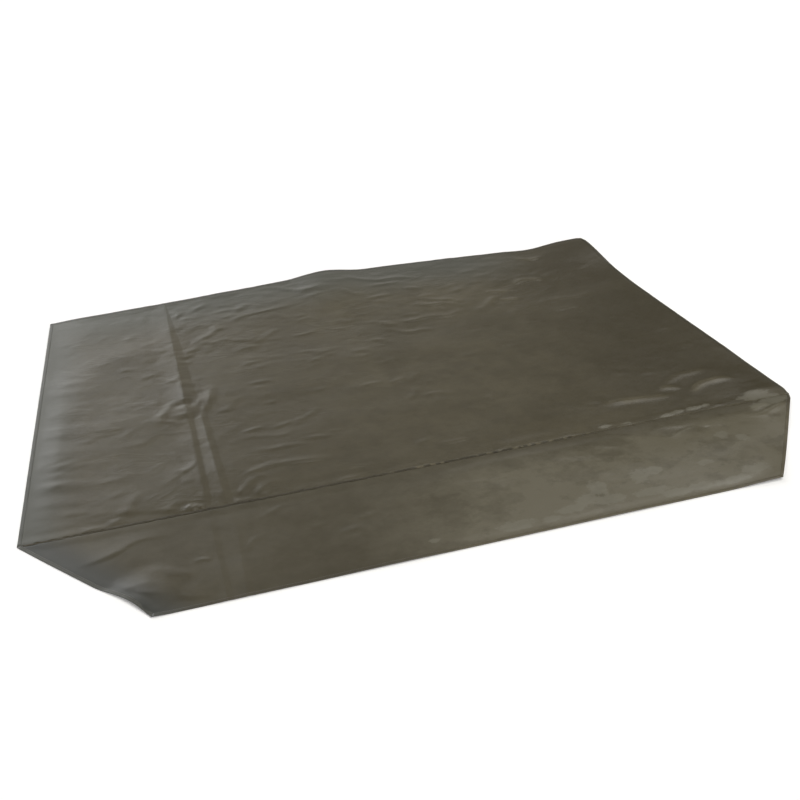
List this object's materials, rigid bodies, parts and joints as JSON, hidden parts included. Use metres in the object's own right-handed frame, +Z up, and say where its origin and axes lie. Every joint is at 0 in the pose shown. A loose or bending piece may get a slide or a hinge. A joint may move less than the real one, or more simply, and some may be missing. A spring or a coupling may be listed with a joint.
{
  "type": "fishing shelter groundsheet",
  "caption": "Six-sided coated cloth groundsheet laid flat, a main panel and a front panel sewn along the widest line, edges bound with folded tape; the front panel folds back at the seam.",
  "frame": {"origin": "middle of the bounding box at ground level, under the sheet", "axes": "+X along the seam to the right, +Y towards the rear edge, +Z up from the ground"},
  "size_m": [2.7026, 1.8424, 0.0244],
  "materials": {
    "main_cloth": "olive-brown cloth with a semi-matte waterproof coating, finely crinkled",
    "front_cloth": "olive-brown cloth with a semi-matte waterproof coating, smoother than the main panel",
    "edge_tape": "dark olive woven tape, matte, sewn with one row of stitches",
    "sealing_tape": "thin smooth seam sealing tape, slightly glossy"
  },
  "bodies": {
    "main_sheet": {"main_panel": "main_cloth", "rear_binding": "edge_tape", "left_side_binding": "edge_tape", "right_side_binding": "edge_tape", "seam_tape": "sealing_tape"},
    "front_flap": {"front_panel": "front_cloth", "front_binding": "edge_tape", "front_left_binding": "edge_tape", "front_right_binding": "edge_tape"}
  },
  "joints": [
    {"name": "front_fold", "type": "hinge", "parent": "main_sheet", "child": "front_flap", "pos_m": [0, -0.49, 0.0025], "axis": [-1, 0, 0], "range_deg": [0, 160]}
  ]
}
